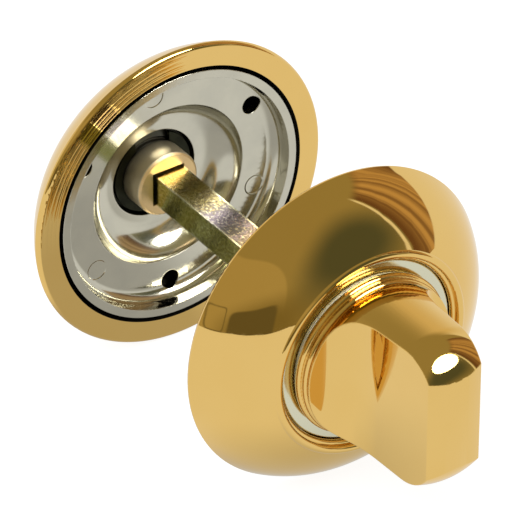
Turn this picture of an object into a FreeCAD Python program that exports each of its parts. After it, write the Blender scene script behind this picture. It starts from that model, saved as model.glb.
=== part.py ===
import FreeCAD, Part

import math
import os
from types import SimpleNamespace

import Sketcher

# Bathroom thumb turn set: two domed roses, one on each side of the door, joined by a square spindle.
# The row frame has its origin on the spindle axis at the thumb turn's door face, with +Z up.
# The spindle lies along Y, the thumb turn points to -Y and the emergency release to +Y.
# Each rose is drawn in its own frame, where +Y leads out of the door and y = 0 is the door face.

# Driving dimensions in millimetres: name, value, what it sets.
DIMENSIONS = [
    ("door_gap", 38.0, "distance between the two door faces at rest"),
    ("rose_radius", 25.0, "outer radius of a rose"),
    ("rose_edge_round", 0.7, "rounding of the rose's back edge"),
    ("land_width", 3.74, "width of the cover's back land, from the skirt to the outer edge"),
    ("dome_arc_radius", 17.0, "radius of the dome's profile"),
    ("lip_radius", 16.4, "radius at which the dome meets the lip bead"),
    ("lip_height", 9.35, "height of the foot of the lip bead above the door face"),
    ("lip_width", 1.3, "width of the lip bead"),
    ("lip_bead_radius", 0.7, "profile radius of the lip bead"),
    ("lip_step", 0.35, "drop from the lip bead to the mouth of the bore"),
    ("mouth_round", 0.6, "rounding of the mouth of the cover's bore"),
    ("skirt_height", 3.4, "straight part of the cover's skirt bore"),
    ("dome_wall", 2.0, "how much tighter the hollow's profile is than the dome's"),
    ("crown_wall", 1.75, "thickness of the cover under its lip"),
    ("cover_collar_wall", 0.8, "wall of the collar round the cover's bore"),
    ("rim_gap", 0.66, "gap between the cover's skirt and the base plate"),
    ("rim_band", 1.3, "width of the base plate's rim that meets the door"),
    ("rim_thickness", 1.5, "thickness of the base plate's rim"),
    ("rim_slope", 2.6, "how far the front of the plate slopes in above its rim"),
    ("wall_fillet", 1.9, "fillet between the base plate's rim and its flat ring"),
    ("ring_depth", 3.3, "depth of the base plate's flat ring below the door face"),
    ("plate_thickness", 1.3, "thickness of the flat ring"),
    ("screw_inset", 3.6, "distance from the base plate's edge to the screw circle"),
    ("screw_hole_radius", 1.5, "radius of a fixing screw's hole"),
    ("bowl_radius", 13.2, "radius of the bowl's edge"),
    ("bowl_depth", 7.2, "depth of the bowl's floor below the door face"),
    ("bowl_fillet", 3.5, "fillet between the bowl's wall and floor"),
    ("floor_thickness", 1.2, "thickness of the bowl's floor"),
    ("boss_radius", 14.4, "radius of the boss that fills the cover's bore"),
    ("boss_clearance", 0.1, "gap between the boss and the cover's bore"),
    ("boss_chamfer", 0.2, "chamfer on the boss's front edge"),
    ("shoulder_width", 0.8, "width of the shoulder that the cover sits on"),
    ("shoulder_rise", 2.2, "height of that shoulder above the flat ring's front"),
    ("tube_radius", 8.6, "outer radius of the bearing tube inside the collar"),
    ("tube_rise", 2.0, "height of the bearing tube above the boss"),
    ("tube_gap", 0.2, "gap between the bearing tube and the hollow collar"),
    ("web_thickness", 1.4, "length of the bearing that the hub turns in"),
    ("counterbore_radius", 7.2, "radius of the counterbore that holds the clip"),
    ("hub_radius", 5.25, "radius of the hub"),
    ("hub_clearance", 0.05, "running clearance between the hub and its bearing"),
    ("hub_end_depth", 3.3, "depth of the hub's end face below the door face"),
    ("hub_chamfer", 0.4, "chamfer on the hub's end"),
    ("clip_thickness", 0.7, "thickness of the retaining clip"),
    ("clip_width", 2.0, "radial width of the retaining clip"),
    ("clip_groove_depth", 0.65, "depth of the clip's groove in the hub"),
    ("clip_clearance", 0.05, "gap between the clip and its groove"),
    ("clip_mouth", 6.0, "width of the clip's opening"),
    ("spring_space", 0.8, "room between the clip and the bearing for the spring washer"),
    ("spring_thickness", 0.3, "thickness of the conical spring washer"),
    ("spring_gap", 0.03, "gap at each end of the spring washer"),
    ("spring_clearance", 0.25, "gap between the spring washer and the hub or counterbore"),
    ("washer_thickness", 0.35, "thickness of the thrust washer"),
    ("washer_margin", 0.3, "how far the thrust washer stays inside the collar's edge and off the tube"),
    ("running_gap", 0.1, "gap between the thrust washer and the collar"),
    ("collar_radius", 12.5, "radius at the foot of the collar's lower bead"),
    ("collar_bead_height", 1.1, "height of each of the collar's beads"),
    ("collar_bead_radius", 0.62, "profile radius of each bead"),
    ("collar_step", 0.4, "how far the upper bead stands in from the lower one"),
    ("neck_groove", 0.25, "depth and width of the groove above the upper bead"),
    ("blade_radius", 12.2, "radius of the turned body of the thumb turn"),
    ("blade_length", 12.2, "length of the turned body up to its rounded tip"),
    ("tip_radius", 6.6, "rounding of the turned body's tip"),
    ("scoop_radius", 6.2, "radius of the two thumb scoops at the foot of the blade"),
    ("scoop_rise", 0.35, "height of the scoops' foot above the neck groove"),
    ("blade_half_width", 5.2, "half the blade's width at the end of the scoops"),
    ("blade_end_half_width", 4.5, "half the blade's width at its end"),
    ("blade_end_height", 28.95, "height of the blade's end edges above the door face"),
    ("blade_end_radius", 11.5, "radius of the blade's rounded end"),
    ("socket_side", 5.5, "side of the square sockets"),
    ("knob_socket_depth", 17.0, "depth of the thumb turn's socket"),
    ("button_radius", 11.9, "radius of the release button's face"),
    ("button_rise", 1.9, "height of the release button's rim above the neck groove"),
    ("button_round", 0.8, "rounding of the release button's rim"),
    ("button_crown", 0.5, "crown of the release button's face"),
    ("coin_slot_width", 2.2, "width of the coin slot"),
    ("coin_slot_length", 15.0, "length of the coin slot"),
    ("coin_slot_depth", 1.9, "depth of the coin slot below the crown"),
    ("release_socket_depth", 6.9, "depth of the release hub's socket"),
    ("spindle_side", 5.0, "side of the square spindle"),
    ("spindle_play", 0.05, "gap left on the two sides that the spindle rests on"),
    ("spindle_seat_gap", 0.2, "gap between the spindle's end and the bottom of the release socket"),
    ("spindle_length", 64.0, "length of the spindle"),
    ("spindle_chamfer", 0.5, "chamfer on the spindle's ends"),
]

SCREW_HOLE_COUNT = 3
SHEET_NAME = "dims"
FULL_TURN = 360.0


class Size:
    """A size with its formula over the sheet's cells and its present value."""

    def __init__(self, formula, value):
        self.formula = formula
        self.value = value

    def __add__(self, other):
        return combine(self, "+", other)

    def __sub__(self, other):
        return combine(self, "-", other)

    def __mul__(self, other):
        return combine(self, "*", other)

    def __truediv__(self, other):
        return combine(self, "/", other)

    def __neg__(self):
        return Size("(-1 * %s)" % self.formula, -self.value)


def combine(left, sign, right):
    """The size that an arithmetic sign makes of two sizes, or of a size and a plain number."""
    if not isinstance(right, Size):
        right = Size(repr(float(right)), float(right))
    results = {
        "+": left.value + right.value,
        "-": left.value - right.value,
        "*": left.value * right.value,
        "/": left.value / right.value if right.value else 0.0,
    }
    return Size("(%s %s %s)" % (left.formula, sign, right.formula), results[sign])


def write_sheet(doc):
    """The sheet of driving dimensions, and the sizes that read its cells."""
    sheet = doc.addObject("Spreadsheet::Sheet", SHEET_NAME)
    sizes = {}
    for row, (name, value, note) in enumerate(DIMENSIONS, start=1):
        sheet.set("A%d" % row, name)
        sheet.set("B%d" % row, str(value))
        sheet.setAlias("B%d" % row, name)
        sheet.set("C%d" % row, note)
        sizes[name] = Size("%s.%s" % (SHEET_NAME, name), value)
    doc.recompute()
    return SimpleNamespace(**sizes)


doc = FreeCAD.newDocument("thumb_turn_set")
size = write_sheet(doc)

# Radii and heights that several pieces share, in a rose's own frame.
skirt_radius = size.rose_radius - size.land_width
rim_radius = skirt_radius - size.rim_gap
rim_inner_radius = rim_radius - size.rim_band
screw_circle_radius = rim_radius - size.screw_inset
ring_front = size.ring_depth + size.plate_thickness
shoulder_height = ring_front + size.shoulder_rise
boss_height = size.bowl_depth + size.floor_thickness
tube_height = boss_height + size.tube_rise
bearing_back = tube_height - size.web_thickness
clip_front = bearing_back - size.spring_space
clip_back = clip_front - size.clip_thickness
groove_radius = size.hub_radius - size.clip_groove_depth
collar_foot = boss_height + size.washer_thickness + size.running_gap
hollow_radius = size.tube_radius + size.tube_gap
hollow_height = tube_height + size.tube_gap
upper_bead_foot = collar_foot + size.collar_bead_height
upper_bead_radius = size.collar_radius - size.collar_step
neck_foot = upper_bead_foot + size.collar_bead_height
neck_head = neck_foot + size.neck_groove
neck_radius = upper_bead_radius - size.neck_groove
spindle_offset = (size.socket_side - size.spindle_side) / 2 - size.spindle_play
spindle_end = size.hub_end_depth + size.release_socket_depth - size.spindle_seat_gap


def corner(across, along, bend=None, turn=0):
    """A corner of an outline. bend and turn curve the side that leaves it: turn 1 left, -1 right."""
    return SimpleNamespace(across=across, along=along, bend=bend, turn=turn)


def value_of(length):
    """The number behind a size, or the plain number itself."""
    return length.value if isinstance(length, Size) else float(length)


def place_of(vertex):
    """A corner's present place in its sketch."""
    return FreeCAD.Vector(value_of(vertex.across), value_of(vertex.along), 0)


def arc_between(first, last, radius, turn):
    """The arc of a given radius from first to last that bends left (1) or right (-1)."""
    chord = last - first
    half = chord.Length / 2
    reach = math.sqrt(max(radius * radius - half * half, 0.0))
    sideways = FreeCAD.Vector(-chord.y, chord.x, 0).normalize()
    centre = (first + last) * 0.5 + sideways * (reach * turn)
    start, end = (first, last) if turn > 0 else (last, first)
    start_angle = math.atan2(start.y - centre.y, start.x - centre.x)
    end_angle = math.atan2(end.y - centre.y, end.x - centre.x)
    circle = Part.Circle(centre, FreeCAD.Vector(0, 0, 1), radius)
    return Part.ArcOfCircle(circle, start_angle, end_angle)


def bind(sketch, constraint, name, length):
    """Add a constraint to the sketch and bind it to the sheet."""
    index = sketch.addConstraint(constraint)
    sketch.renameConstraint(index, name)
    if isinstance(length, Size):
        sketch.setExpression("Constraints." + name, length.formula)


def hold_point(sketch, side, point, name, across, along):
    """Fix a point of a sketch at a place given by two sizes. A plain zero puts it on that axis."""
    for axis_name, kind, axis, length in (
        ("across", "DistanceX", -2, across),
        ("along", "DistanceY", -1, along),
    ):
        if not isinstance(length, Size) and length == 0:
            sketch.addConstraint(Sketcher.Constraint("PointOnObject", side, point, axis))
        else:
            held = Sketcher.Constraint(kind, -1, 1, side, point, value_of(length))
            bind(sketch, held, "%s_%s" % (name, axis_name), length)


def draw_outline(sketch, corners):
    """A closed outline of straight and round sides whose corners and radii follow the sheet."""
    sides = []
    for index, vertex in enumerate(corners):
        following = corners[(index + 1) % len(corners)]
        first, last = place_of(vertex), place_of(following)
        if vertex.bend is None:
            side = sketch.addGeometry(Part.LineSegment(first, last))
            sides.append((side, 1, 2))
        else:
            side = sketch.addGeometry(arc_between(first, last, value_of(vertex.bend), vertex.turn))
            sides.append((side, 1, 2) if vertex.turn > 0 else (side, 2, 1))
    for index, vertex in enumerate(corners):
        side, first_point, _ = sides[index]
        before, _, last_point = sides[index - 1]
        sketch.addConstraint(Sketcher.Constraint("Coincident", before, last_point, side, first_point))
        hold_point(sketch, side, first_point, "corner%d" % index, vertex.across, vertex.along)
        if vertex.bend is not None:
            radius = Sketcher.Constraint("Radius", side, value_of(vertex.bend))
            bind(sketch, radius, "bend%d" % index, vertex.bend)


def rectangle(half_across, low, high):
    """The corners of a rectangle that is centred across its sketch."""
    return [
        corner(-half_across, low),
        corner(half_across, low),
        corner(half_across, high),
        corner(-half_across, high),
    ]


def new_body(label):
    """An empty body that is named for its piece."""
    body = doc.addObject("PartDesign::Body", label)
    body.Label = label
    return body


def new_sketch(body, name, plane, height=None):
    """An empty sketch on one of the body's planes. height lifts a sketch on XZ along +Y."""
    sketch = body.newObject("Sketcher::SketchObject", name)
    support = [item for item in body.Origin.OriginFeatures if item.Role == plane][0]
    sketch.AttachmentSupport = [(support, "")]
    sketch.MapMode = "FlatFace"
    if height is not None:
        sketch.setExpression("AttachmentOffset.Base.z", "-1 * " + height.formula)
    return sketch


def turned(label, corners):
    """A body turned about the spindle axis from half of its section."""
    body = new_body(label)
    sketch = new_sketch(body, label + "_section", "XY_Plane")
    draw_outline(sketch, corners)
    revolution = body.newObject("PartDesign::Revolution", label + "_turning")
    revolution.Profile = (sketch, [""])
    revolution.ReferenceAxis = (sketch, ["V_Axis"])
    revolution.Angle = FULL_TURN
    doc.recompute()
    return body


def cut(body, sketch, name, depth=None):
    """Cut a sketch's outline out of a body: depth along +Y, or right through both ways."""
    before = body.Shape.Volume
    pocket = body.newObject("PartDesign::Pocket", name)
    pocket.Profile = (sketch, [""])
    if depth is None:
        pocket.Type = "ThroughAll"
        pocket.SideType = "Symmetric"
    else:
        pocket.Type = "Length"
        pocket.setExpression("Length", depth.formula)
    doc.recompute()
    if body.Shape.Volume >= before:
        raise RuntimeError("%s cuts nothing" % name)
    return pocket


def cut_socket(body, label, depth):
    """The square socket in a hub's end face."""
    sketch = new_sketch(body, label + "_socket_outline", "XZ_Plane", size.hub_end_depth)
    half = size.socket_side / 2
    draw_outline(sketch, rectangle(half, -half, half))
    cut(body, sketch, label + "_socket", depth)


def hub_and_collar():
    """The section that both hubs share: hub, clip groove, hollow collar and its two beads."""
    return [
        corner(0, size.hub_end_depth),
        corner(size.hub_radius - size.hub_chamfer, size.hub_end_depth),
        corner(size.hub_radius, size.hub_end_depth + size.hub_chamfer),
        corner(size.hub_radius, clip_back - size.clip_clearance),
        corner(groove_radius, clip_back - size.clip_clearance),
        corner(groove_radius, clip_front + size.clip_clearance),
        corner(size.hub_radius, clip_front + size.clip_clearance),
        corner(size.hub_radius, hollow_height),
        corner(hollow_radius, hollow_height),
        corner(hollow_radius, collar_foot),
        corner(size.collar_radius, collar_foot, size.collar_bead_radius, 1),
        corner(size.collar_radius, upper_bead_foot),
        corner(upper_bead_radius, upper_bead_foot, size.collar_bead_radius, 1),
        corner(upper_bead_radius, neck_foot),
        corner(neck_radius, neck_foot),
        corner(neck_radius, neck_head),
    ]


def make_cover(label):
    """The domed cover: back land, dome, lip bead, and the seat on the base plate's shoulder."""
    bore_radius = size.boss_radius + size.boss_clearance
    lip_inner_radius = size.lip_radius - size.lip_width
    mouth_height = size.lip_height - size.lip_step
    mouth_width = lip_inner_radius - bore_radius
    ceiling_height = size.lip_height - size.crown_wall
    hollow_arc_radius = size.dome_arc_radius - size.dome_wall
    return turned(label, [
        corner(skirt_radius, 0),
        corner(size.rose_radius - size.rose_edge_round, 0, size.rose_edge_round, 1),
        corner(size.rose_radius, size.rose_edge_round, size.dome_arc_radius, 1),
        corner(size.lip_radius, size.lip_height, size.lip_bead_radius, 1),
        corner(lip_inner_radius, size.lip_height),
        corner(lip_inner_radius, mouth_height, size.mouth_round, 1),
        corner(bore_radius, mouth_height - mouth_width),
        corner(bore_radius, shoulder_height),
        corner(bore_radius + size.cover_collar_wall, shoulder_height),
        corner(bore_radius + size.cover_collar_wall, ceiling_height, hollow_arc_radius, -1),
        corner(skirt_radius, size.skirt_height),
    ])


def make_base_plate(label):
    """The dished base plate: rim, flat ring with screw holes, bowl, boss and bearing tube."""
    ring_outer_radius = rim_inner_radius - size.wall_fillet
    shoulder_radius = size.boss_radius + size.shoulder_width
    bearing_radius = size.hub_radius + size.hub_clearance
    body = turned(label, [
        corner(bearing_radius, bearing_back),
        corner(size.counterbore_radius, bearing_back),
        corner(size.counterbore_radius, size.bowl_depth),
        corner(size.bowl_radius - size.bowl_fillet, size.bowl_depth, size.bowl_fillet, -1),
        corner(size.bowl_radius, size.bowl_depth - size.bowl_fillet),
        corner(size.bowl_radius, size.ring_depth),
        corner(ring_outer_radius, size.ring_depth, size.wall_fillet, -1),
        corner(rim_inner_radius, size.ring_depth - size.wall_fillet),
        corner(rim_inner_radius, 0),
        corner(rim_radius, 0),
        corner(rim_radius, size.rim_thickness),
        corner(rim_radius - size.rim_slope, ring_front),
        corner(shoulder_radius, ring_front),
        corner(shoulder_radius, shoulder_height),
        corner(size.boss_radius, shoulder_height),
        corner(size.boss_radius, boss_height - size.boss_chamfer),
        corner(size.boss_radius - size.boss_chamfer, boss_height),
        corner(size.tube_radius, boss_height),
        corner(size.tube_radius, tube_height),
        corner(bearing_radius, tube_height),
    ])
    sketch = new_sketch(body, label + "_screw_outline", "XZ_Plane")
    hole = sketch.addGeometry(Part.Circle(
        FreeCAD.Vector(0, -screw_circle_radius.value, 0),
        FreeCAD.Vector(0, 0, 1),
        size.screw_hole_radius.value,
    ))
    hold_point(sketch, hole, 3, "hole", 0, -screw_circle_radius)
    bind(sketch, Sketcher.Constraint("Radius", hole, size.screw_hole_radius.value),
         "hole_radius", size.screw_hole_radius)
    first_hole = cut(body, sketch, label + "_screw_hole", shoulder_height)
    pattern = body.newObject("PartDesign::PolarPattern", label + "_screw_holes")
    pattern.Originals = [first_hole]
    pattern.Axis = (sketch, ["N_Axis"])
    pattern.Angle = FULL_TURN
    pattern.Occurrences = SCREW_HOLE_COUNT
    body.Tip = pattern
    doc.recompute()
    return body


def make_knob(label):
    """The thumb turn: a turned body with two scoops that leave a blade, on its collar and hub."""
    tip_foot = neck_head + size.blade_length
    tip_height = tip_foot + size.tip_radius
    body = turned(label, hub_and_collar() + [
        corner(size.blade_radius, neck_head),
        corner(size.blade_radius, tip_foot, size.tip_radius, 1),
        corner(size.blade_radius - size.tip_radius, tip_height),
        corner(0, tip_height),
    ])
    scoop_foot = neck_head + size.scoop_rise
    scoop_head = scoop_foot + size.scoop_radius
    scoop_outer = size.blade_half_width + size.scoop_radius
    clear_radius = size.blade_radius + size.scoop_radius
    clear_height = tip_height + size.tip_radius
    sketch = new_sketch(body, label + "_scoop_outline", "XY_Plane")
    draw_outline(sketch, [
        corner(scoop_outer, scoop_foot),
        corner(clear_radius, scoop_foot),
        corner(clear_radius, clear_height),
        corner(-clear_radius, clear_height),
        corner(-clear_radius, scoop_foot),
        corner(-scoop_outer, scoop_foot, size.scoop_radius, 1),
        corner(-size.blade_half_width, scoop_head),
        corner(-size.blade_end_half_width, size.blade_end_height, size.blade_end_radius, -1),
        corner(size.blade_end_half_width, size.blade_end_height),
        corner(size.blade_half_width, scoop_head, size.scoop_radius, 1),
    ])
    cut(body, sketch, label + "_scoops")
    cut_socket(body, label, size.knob_socket_depth)
    return body


def make_release_button(label):
    """The emergency release: a crowned button with a coin slot, on the same collar and hub."""
    rim_height = neck_head + size.button_rise
    crown_height = rim_height + size.button_crown
    flat_radius = size.button_radius - size.button_round
    crown_radius = (flat_radius * flat_radius + size.button_crown * size.button_crown)
    crown_radius = crown_radius / (size.button_crown * 2)
    body = turned(label, hub_and_collar() + [
        corner(size.button_radius, neck_head),
        corner(size.button_radius, rim_height - size.button_round, size.button_round, 1),
        corner(flat_radius, rim_height, crown_radius, 1),
        corner(0, crown_height),
    ])
    slot_foot = crown_height - size.coin_slot_depth
    sketch = new_sketch(body, label + "_slot_outline", "XZ_Plane", slot_foot)
    half_length = size.coin_slot_length / 2
    draw_outline(sketch, rectangle(size.coin_slot_width / 2, -half_length, half_length))
    cut(body, sketch, label + "_slot", size.coin_slot_depth * 2)
    cut_socket(body, label, size.release_socket_depth)
    return body


def make_thrust_washer(label):
    """The plain washer between the boss and the collar."""
    inner_radius = size.tube_radius + size.washer_margin
    outer_radius = size.collar_radius - size.washer_margin
    return turned(label, [
        corner(inner_radius, boss_height),
        corner(outer_radius, boss_height),
        corner(outer_radius, boss_height + size.washer_thickness),
        corner(inner_radius, boss_height + size.washer_thickness),
    ])


def make_spring_washer(label):
    """The conical washer that keeps the hub from rattling: its inner edge faces the clip."""
    inner_radius = size.hub_radius + size.spring_clearance
    outer_radius = size.counterbore_radius - size.spring_clearance
    back = clip_front + size.spring_gap
    front = bearing_back - size.spring_gap
    return turned(label, [
        corner(inner_radius, back),
        corner(outer_radius, front - size.spring_thickness),
        corner(outer_radius, front),
        corner(inner_radius, back + size.spring_thickness),
    ])


def make_clip(label):
    """The open spring ring in the hub's groove."""
    inner_radius = groove_radius + size.clip_clearance
    outer_radius = inner_radius + size.clip_width
    body = turned(label, [
        corner(inner_radius, clip_back),
        corner(outer_radius, clip_back),
        corner(outer_radius, clip_front),
        corner(inner_radius, clip_front),
    ])
    sketch = new_sketch(body, label + "_mouth_outline", "XZ_Plane")
    draw_outline(sketch, rectangle(size.clip_mouth / 2, 0, outer_radius * 2))
    cut(body, sketch, label + "_mouth", clip_front * 2)
    return body


def make_spindle(label):
    """The square spindle. It rests on the lower and the +X side of its sockets."""
    body = new_body(label)
    sketch = new_sketch(body, label + "_outline", "XZ_Plane", size.door_gap + spindle_end)
    half = size.spindle_side / 2
    draw_outline(sketch, [
        corner(spindle_offset - half, -spindle_offset - half),
        corner(spindle_offset + half, -spindle_offset - half),
        corner(spindle_offset + half, -spindle_offset + half),
        corner(spindle_offset - half, -spindle_offset + half),
    ])
    bar = body.newObject("PartDesign::Pad", label + "_bar")
    bar.Profile = (sketch, [""])
    bar.setExpression("Length", size.spindle_length.formula)
    doc.recompute()
    end_faces = [
        "Face%d" % number
        for number, face in enumerate(bar.Shape.Faces, start=1)
        if abs(face.normalAt(0, 0).y) > 0.5
    ]
    ends = body.newObject("PartDesign::Chamfer", label + "_ends")
    ends.Base = (bar, end_faces)
    ends.setExpression("Size", size.spindle_chamfer.formula)
    doc.recompute()
    return body


def put_on_turn_side(body):
    """Turn a piece of the rose's frame to face -Y, on the thumb turn's side of the door."""
    body.Placement = FreeCAD.Placement(FreeCAD.Vector(), FreeCAD.Rotation(FreeCAD.Vector(0, 0, 1), 180))


def put_on_release_side(body):
    """Move a piece of the rose's frame to the other side of the door."""
    body.setExpression("Placement.Base.y", size.door_gap.formula)


ROSE_PIECES = {
    "cover": make_cover,
    "base_plate": make_base_plate,
    "thrust_washer": make_thrust_washer,
    "spring_washer": make_spring_washer,
    "circlip": make_clip,
}

pieces = [make_spindle("spindle")]
for side, own_piece, make_own_piece, put_in_place in (
    ("turn", "knob", make_knob, put_on_turn_side),
    ("release", "button", make_release_button, put_on_release_side),
):
    for piece_name, make_piece in {**ROSE_PIECES, own_piece: make_own_piece}.items():
        piece = make_piece("%s_%s" % (side, piece_name))
        put_in_place(piece)
        pieces.append(piece)

doc.recompute()
for item in doc.Objects:
    faults = [state for state in item.State if state in ("Invalid", "Error")]
    if faults:
        raise RuntimeError("%s is %s" % (item.Label, faults))
for piece in pieces:
    if piece.Shape.isNull() or not piece.Shape.isValid() or len(piece.Shape.Solids) != 1:
        raise RuntimeError("%s is not one sound solid" % piece.Label)

os.makedirs("parts", exist_ok=True)
for piece in pieces:
    piece.Shape.exportStep("parts/%s.step" % piece.Label)
    box = piece.Shape.BoundBox
    print("%-24s volume %9.2f  y %7.2f to %7.2f" % (piece.Label, piece.Shape.Volume, box.YMin, box.YMax))
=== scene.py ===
import math

import bmesh
import bpy
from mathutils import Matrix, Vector


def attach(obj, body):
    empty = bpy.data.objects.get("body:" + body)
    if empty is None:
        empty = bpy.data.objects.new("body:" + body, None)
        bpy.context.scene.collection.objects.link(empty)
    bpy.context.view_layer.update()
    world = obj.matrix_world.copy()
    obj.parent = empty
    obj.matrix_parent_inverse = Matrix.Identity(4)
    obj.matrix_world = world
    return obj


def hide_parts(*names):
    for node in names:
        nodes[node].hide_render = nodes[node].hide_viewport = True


# Looks of a bathroom thumb turn set: polished gold roses and knob, nickel base plates, yellow zinc spindle.
# Lengths are in metres in the part's own frame: the spindle lies along Y and the thumb turn faces -Y.

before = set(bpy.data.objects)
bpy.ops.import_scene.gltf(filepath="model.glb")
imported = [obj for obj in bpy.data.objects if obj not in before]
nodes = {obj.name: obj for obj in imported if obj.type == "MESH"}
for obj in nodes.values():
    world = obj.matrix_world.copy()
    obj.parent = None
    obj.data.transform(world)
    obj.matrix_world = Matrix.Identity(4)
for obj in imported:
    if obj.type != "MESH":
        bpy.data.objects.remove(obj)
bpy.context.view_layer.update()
scene = bpy.context.scene
scene.view_settings.view_transform = "Standard"

MM = 0.001
DOOR_GAP = 38 * MM

# Each side of the door: its name, the way that it faces along Y, and where its door face is.
TURN_SIDE = ("turn", -1.0, 0.0)
RELEASE_SIDE = ("release", 1.0, DOOR_GAP)


# The colour sockets of a Mix node, which come after those for numbers and vectors.
MIX_FACTOR = 0
MIX_FIRST = 6
MIX_SECOND = 7
MIX_RESULT = 2


class Graph:
    """Short calls for building one node tree."""

    def __init__(self, tree):
        self.tree = tree
        tree.nodes.clear()

    def add(self, kind, settings=None, **inputs):
        """A node with its settings and inputs. An input is a value or the socket that feeds it."""
        node = self.tree.nodes.new(kind)
        for name, value in (settings or {}).items():
            setattr(node, name, value)
        for name, value in inputs.items():
            self.feed(node.inputs[name.replace("_", " ")], value)
        return node

    def feed(self, socket, value):
        """Set an input to a value, or link it to another node's output."""
        if isinstance(value, bpy.types.NodeSocket):
            self.tree.links.new(value, socket)
        else:
            socket.default_value = value

    def math(self, operation, *values):
        """A Math node's result."""
        node = self.tree.nodes.new("ShaderNodeMath")
        node.operation = operation
        for socket, value in zip(node.inputs, values):
            self.feed(socket, value)
        return node.outputs[0]

    def both(self, first, second):
        """1 where two masks are both 1."""
        return self.math("MULTIPLY", first, second)

    def ramp(self, value, start, end, low=0.0, high=1.0):
        """A smooth step from low to high while value goes from start to end."""
        node = self.add("ShaderNodeMapRange", {"interpolation_type": "SMOOTHSTEP"})
        for socket, item in zip(node.inputs, (value, start, end, low, high)):
            self.feed(socket, item)
        return node.outputs[0]

    def mix(self, factor, first, second):
        """A colour between first and second."""
        node = self.add("ShaderNodeMix", {"data_type": "RGBA"})
        for index, item in ((MIX_FACTOR, factor), (MIX_FIRST, first), (MIX_SECOND, second)):
            self.feed(node.inputs[index], item)
        return node.outputs[MIX_RESULT]

    def noise(self, place, scale, detail, stretch=(1.0, 1.0, 1.0)):
        """Noise between 0 and 1 on object coordinates.

        A large stretch makes its features short on that axis.
        """
        moved = self.add("ShaderNodeMapping", {}, Vector=place, Scale=stretch)
        node = self.add("ShaderNodeTexNoise", {}, Vector=moved.outputs[0], Scale=scale, Detail=detail)
        return node.outputs["Fac"]

    def stripes(self, value, scale, detail):
        """Noise between 0 and 1 along one value."""
        node = self.add("ShaderNodeTexNoise", {"noise_dimensions": "1D"}, W=value, Scale=scale, Detail=detail)
        return node.outputs["Fac"]

    def bump(self, height, strength, distance, normal=None):
        """The normal over a height map, on top of another normal where one is given."""
        node = self.add("ShaderNodeBump", {}, Height=height, Strength=strength, Distance=distance)
        if normal is not None:
            self.feed(node.inputs["Normal"], normal)
        return node.outputs["Normal"]

    def round_edges(self, radius):
        """The normal of a surface whose sharp edges look rounded."""
        return self.add("ShaderNodeBevel", {"samples": BEVEL_SAMPLES}, Radius=radius).outputs["Normal"]

    def surface(self, base, metallic, rough, normal):
        """Close a material's tree with one principled shader."""
        shader = self.add("ShaderNodeBsdfPrincipled", {}, Base_Color=base, Metallic=metallic, Roughness=rough)
        self.feed(shader.inputs["Normal"], normal)
        self.output(shader)

    def output(self, shader):
        """Close a material's tree with a shader."""
        self.add("ShaderNodeOutputMaterial", {}, Surface=shader.outputs[0])


def colour(red, green, blue):
    """A colour that covers fully."""
    return (red, green, blue, 1.0)


WHITE = colour(1.0, 1.0, 1.0)
METAL = 1.0
NO_METAL = 0.0
BEVEL_SAMPLES = 6
FINE_DEPTH = 0.02 * MM

# How many octaves a noise has.
SOFT = 2.0
EVEN = 3.0
FINE = 4.0
FINEST = 5.0


def new_material(name):
    """A material and the graph of its empty node tree."""
    material = bpy.data.materials.new(name)
    material.use_nodes = True
    return material, Graph(material.node_tree)


def cylinder_place(graph, outward, offset):
    """Object coordinates, the radius from the spindle axis and the height above the door face."""
    place = graph.add("ShaderNodeTexCoord").outputs["Object"]
    parts = graph.add("ShaderNodeSeparateXYZ", {}, Vector=place)
    across = graph.math("POWER", parts.outputs["X"], 2.0)
    upward = graph.math("POWER", parts.outputs["Z"], 2.0)
    radius = graph.math("SQRT", graph.math("ADD", across, upward))
    height = graph.math("MULTIPLY", graph.math("SUBTRACT", parts.outputs["Y"], offset), outward)
    return place, radius, height


# Gold plating. Here and below, a ramp is four numbers: where it starts and ends, and its values there.
GOLD = colour(0.80, 0.545, 0.185)
GOLD_DEEP = colour(0.77, 0.505, 0.155)
GOLD_DRIFT_SCALE = 90.0
GOLD_POLISH_SCALE = 700.0
GOLD_POLISH_ROUGH = (0.35, 0.75, 0.025, 0.055)
GOLD_POLISH_BUMP = 0.02
GOLD_WIPE_SCALE = 260.0
GOLD_WIPE_STRETCH = (1.0, 6.0, 1.0)
GOLD_WIPE_ROUGH = (0.55, 0.75, 0.0, 0.02)
GOLD_EDGE_ROUND = 0.28 * MM

# The hollow of a cover lies under a roof that slopes down from the bore to the rim. The cover's back is
# a flat land with turning lines.
# The hollow's colour is painted shade: near black over its rough raw cast.
CAST_HOLLOW_SHADE = colour(0.030, 0.026, 0.020)
RAW_CAST_ROUGH = 0.6
BORE_RADIUS = 14.75 * MM
HOLLOW_RADIUS = 21.3 * MM
ROOF_HEIGHT = 8.5 * MM
ROOF_RADIUS = 15.3 * MM
ROOF_SLOPE = 0.64
LAND_EDGE = (0.05 * MM, 0.25 * MM, 1.0, 0.0)
TURNING_SCALE = 1800.0
TURNING_DEPTH = 0.03 * MM

# The hub of the knob or the button, with the spindle's socket in its face.
HUB_FACE = colour(0.74, 0.54, 0.27)
HUB_SIDE = colour(0.52, 0.46, 0.33)
HUB_STAIN = colour(0.36, 0.29, 0.18)
# Painted shade: the hub turns near black deep in the clip's pit.
HUB_PIT_SHADE = colour(0.055, 0.050, 0.035)
HUB_ROUGH = 0.46
HUB_RADIUS = 5.4 * MM
HUB_HEIGHT = 9.6 * MM
HUB_FACE_HEIGHT = 3.6 * MM
HUB_STAIN_SCALE = 420.0
HUB_STAIN_SHARE = (0.4, 0.7, 0.0, 0.35)
HUB_PIT_SHADE_SHARE = (6.9 * MM, 7.7 * MM, 0.0, 1.0)


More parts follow.
